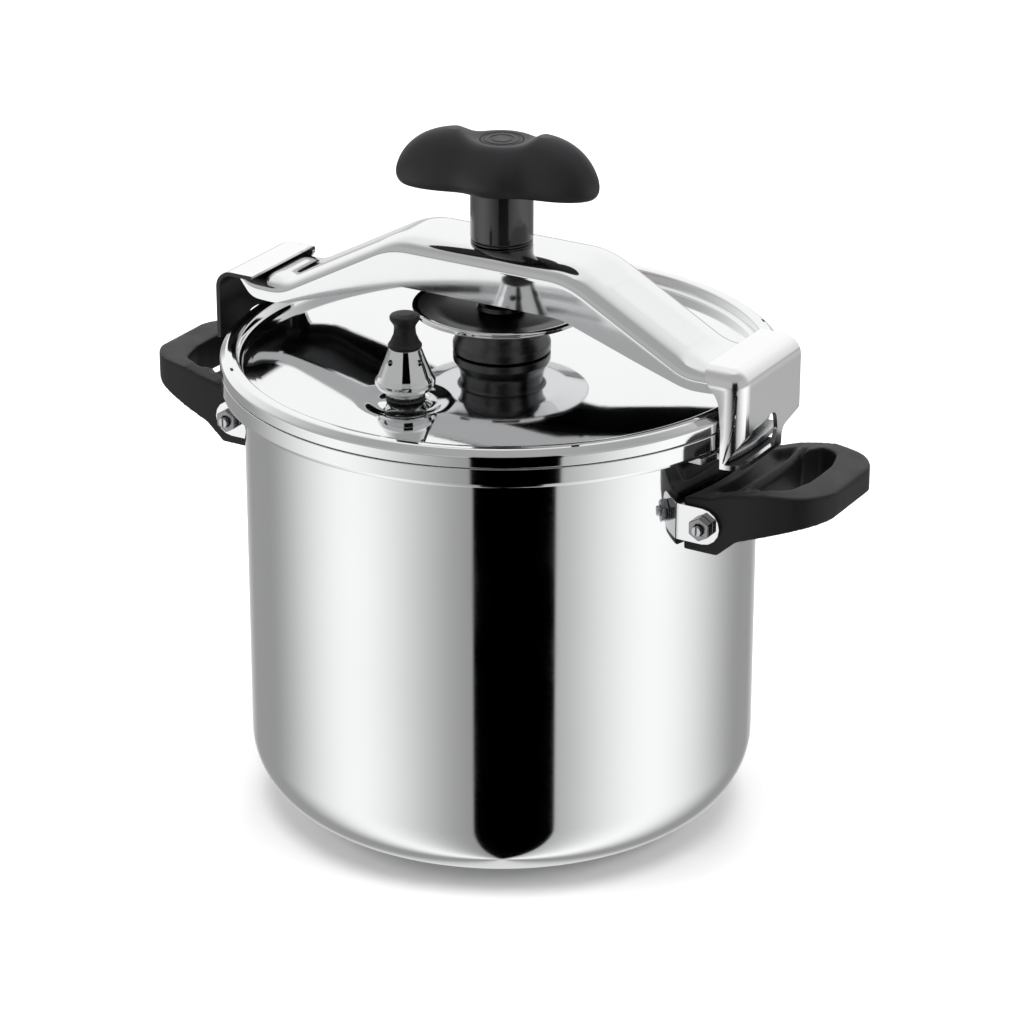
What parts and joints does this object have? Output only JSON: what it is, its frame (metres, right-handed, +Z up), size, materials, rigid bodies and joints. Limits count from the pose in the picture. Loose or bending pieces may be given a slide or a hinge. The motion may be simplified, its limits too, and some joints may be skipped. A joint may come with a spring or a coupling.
{
  "type": "pressure canner",
  "caption": "tall polished steel screw-clamp pressure canner with a domed lid, swinging clamp beam, lobed knob, weight valve and side handles",
  "frame": {"origin": "centre of the base disc's flat underside, on the pot's axis", "axes": "+Z up along the pot's axis; +X along the clamp beam and through both handles; +Y to the safety valve's side"},
  "size_m": [0.398, 0.2864, 0.363],
  "materials": {
    "mirror_steel": "mirror polished",
    "satin_steel": "satin",
    "black_oxide_steel": "machined, black oxide",
    "black_phenolic": "moulded, matte",
    "black_gloss": "glossy black",
    "gasket_silicone": "moulded silicone",
    "valve_silicone": "moulded silicone",
    "red_plastic": "moulded"
  },
  "bodies": {
    "pot": {"pot_body": "mirror_steel", "base_disc": "satin_steel", "lug_right": "satin_steel", "lug_left": "satin_steel", "handle_right_bracket": "mirror_steel", "handle_left_bracket": "mirror_steel", "handle_right_grip": "black_phenolic", "handle_left_grip": "black_phenolic", "handle_right_bolt": "satin_steel", "handle_left_bolt": "satin_steel", "handle_right_nut": "satin_steel", "handle_left_nut": "satin_steel"},
    "lid": {"lid_shell": "mirror_steel", "gasket": "gasket_silicone", "vent_pipe": "satin_steel", "vent_washer": "valve_silicone", "vent_nut": "satin_steel", "safety_body": "mirror_steel", "safety_washer": "valve_silicone", "safety_nut": "satin_steel", "safety_cap": "mirror_steel", "safety_spring": "satin_steel"},
    "relief": {"safety_plunger": "red_plastic"},
    "weight": {"weight_body": "mirror_steel", "weight_cap": "black_phenolic", "weight_pin": "satin_steel"},
    "dish": {"pressure_dish": "mirror_steel", "dish_retainer": "satin_steel"},
    "clamp": {"beam": "mirror_steel", "beam_bush": "black_oxide_steel", "claw_right": "mirror_steel", "claw_left": "mirror_steel", "stem_collar": "black_gloss"},
    "screw": {"spindle": "black_oxide_steel", "stem_sleeve": "black_gloss", "knob": "black_phenolic", "knob_nut": "satin_steel", "knob_cap": "black_phenolic"}
  },
  "joints": [
    {"name": "lid_lift", "type": "slide", "parent": "pot", "child": "lid", "axis": [0, 0, 1], "range_m": [0, 0.174]},
    {"name": "beam_swing", "type": "hinge", "parent": "lid", "child": "dish", "pos_m": [0, 0, 0.247], "axis": [0, 0, 1], "range_deg": [-40, 0]},
    {"name": "knob_turn", "type": "hinge", "parent": "dish", "child": "screw", "pos_m": [0, 0, 0.3], "axis": [0, 0, 1], "range_deg": [0, 300]},
    {"name": "clamp_travel", "type": "slide", "parent": "dish", "child": "clamp", "axis": [0, 0, 1], "range_m": [-0.0025, 0]},
    {"name": "weight_lift", "type": "slide", "parent": "lid", "child": "weight", "axis": [0, 0, 1], "range_m": [0, 0.03]},
    {"name": "relief_lift", "type": "slide", "parent": "lid", "child": "relief", "axis": [0, 0, 1], "range_m": [0, 0.0025], "stiffness_N_per_m": 400, "deforming": ["safety_spring"]}
  ],
  "couplings": [
    {"joint": "knob_turn", "follows": "clamp_travel", "rad_per_m": -2094.4}
  ]
}
